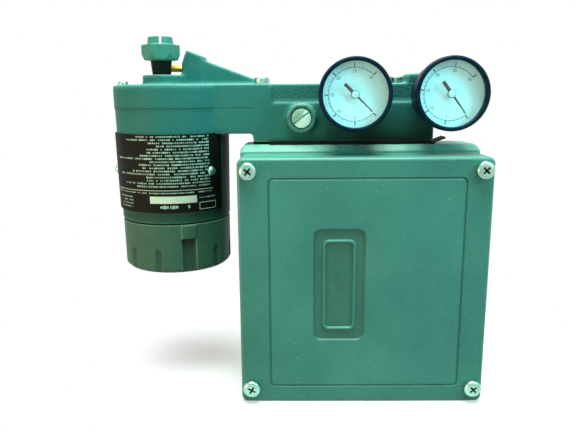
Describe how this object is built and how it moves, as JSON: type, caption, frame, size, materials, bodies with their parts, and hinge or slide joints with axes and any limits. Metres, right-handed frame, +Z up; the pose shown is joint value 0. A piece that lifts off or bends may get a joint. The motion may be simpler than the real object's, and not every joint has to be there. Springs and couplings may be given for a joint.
{
  "type": "valve positioner",
  "caption": "Pneumatic valve positioner: square cast case with a screwed cover, round dial gauges on a top manifold, and a cylindrical current-to-pressure converter on one side.",
  "frame": {"origin": "on the feedback shaft's axis, in the plane of the four mounting bosses on the back", "axes": "+Z up as the part stands, +Y out of the back along the shaft, +X to the right seen from the cover"},
  "size_m": [0.2334, 0.1078, 0.2234],
  "materials": {
    "casting_paint": "teal paint over sand-cast aluminium, lightly worn",
    "rubber_black": "matt moulded rubber",
    "zinc_plate": "bright zinc plate",
    "steel": "ground steel",
    "brass": "turned brass",
    "copper": "drawn copper",
    "black_enamel": "gloss black enamel",
    "plate_black": "black printed metal plate",
    "dial_white": "white printed dial",
    "pointer_black": "matt black",
    "clear_window": "flat clear window",
    "moulding": "dark moulded plastic"
  },
  "bodies": {
    "case": {"base_casting": "casting_paint", "nozzle_bracket": "casting_paint", "bellows_bracket": "casting_paint", "relay_body": "casting_paint", "relay_cap": "casting_paint", "converter_housing": "casting_paint", "vent_plug": "casting_paint", "cover_gasket": "rubber_black", "block_gasket": "rubber_black", "relay_diaphragm": "rubber_black", "relay_screws": "zinc_plate", "block_screws": "zinc_plate", "port_plug": "zinc_plate", "ground_screw": "zinc_plate", "nameplate_screws": "zinc_plate", "terminal_screws": "zinc_plate", "beam_post": "steel", "beam_pivot": "steel", "ip_yoke": "steel", "ip_magnet": "steel", "ip_pivot": "steel", "shaft_bushing": "brass", "nozzle": "brass", "nozzle_locknut": "brass", "bellows": "brass", "supply_filter": "brass", "brass_plug": "brass", "gauge_movement_left": "brass", "gauge_movement_right": "brass", "signal_tube": "copper", "nozzle_tube": "copper", "ip_coil": "copper", "gauge_case_left": "black_enamel", "gauge_case_right": "black_enamel", "gauge_bezel_left": "black_enamel", "gauge_bezel_right": "black_enamel", "nameplate": "plate_black", "gauge_dial_left": "dial_white", "gauge_dial_right": "dial_white", "gauge_window_left": "clear_window", "gauge_window_right": "clear_window", "ip_base": "moulding", "terminal_block": "moulding"},
    "cover": {"front_cover": "casting_paint", "cover_screws": "zinc_plate"},
    "feedback": {"rotary_shaft": "steel", "shaft_clip": "steel", "feedback_arm": "steel", "arm_nut": "zinc_plate", "cam": "zinc_plate", "cam_screw": "brass"},
    "beam_lever": {"beam": "zinc_plate", "flapper": "steel"},
    "follower": {"cam_follower": "steel"},
    "cap_ring": {"cap_o_ring": "rubber_black"},
    "cap": {"converter_cap": "casting_paint"},
    "armature": {"ip_armature": "zinc_plate"},
    "left_hand": {"gauge_pointer_left": "pointer_black"},
    "right_hand": {"gauge_pointer_right": "pointer_black"}
  },
  "joints": [
    {"name": "cover_pull", "type": "slide", "parent": "case", "child": "cover", "axis": [0, -1, 0], "range_m": [0, 0.07]},
    {"name": "shaft_turn", "type": "hinge", "parent": "case", "child": "feedback", "pos_m": [0, 0, 0], "axis": [0, 1, 0], "range_deg": [-30, 30]},
    {"name": "beam_tilt", "type": "hinge", "parent": "case", "child": "beam_lever", "pos_m": [-0.04, 0, 0.034], "axis": [0, 1, 0], "range_deg": [-3.6, 3.6], "deforming": ["bellows"]},
    {"name": "follower_roll", "type": "hinge", "parent": "beam_lever", "child": "follower", "pos_m": [0, 0, 0.0273], "axis": [0, 1, 0], "continuous": true},
    {"name": "cap_travel", "type": "slide", "parent": "case", "child": "cap_ring", "axis": [0, 0, -1], "range_m": [0, 0.01]},
    {"name": "cap_turn", "type": "hinge", "parent": "cap_ring", "child": "cap", "pos_m": [-0.121, -0.014, 0], "axis": [0, 0, -1], "range_deg": [0, 1800]},
    {"name": "armature_tilt", "type": "hinge", "parent": "case", "child": "armature", "pos_m": [-0.105, -0.014, 0.0703], "axis": [0, 1, 0], "range_deg": [-1.5, 1.5], "stiffness_Nm_per_rad": 0.3},
    {"name": "left_hand_turn", "type": "hinge", "parent": "case", "child": "left_hand", "pos_m": [-0.0056, 0, 0.111], "axis": [0, 1, 0], "range_deg": [0, 270], "stiffness_Nm_per_rad": 0.0001, "springref_deg": -28.65},
    {"name": "right_hand_turn", "type": "hinge", "parent": "case", "child": "right_hand", "pos_m": [0.04965, 0, 0.111], "axis": [0, 1, 0], "range_deg": [0, 270], "stiffness_Nm_per_rad": 0.0001, "springref_deg": -28.65}
  ],
  "couplings": [
    {"joint": "beam_tilt", "follows": "shaft_turn", "ratio": -0.12},
    {"joint": "cap_travel", "follows": "cap_turn", "m_per_rad": 0.00031831}
  ]
}
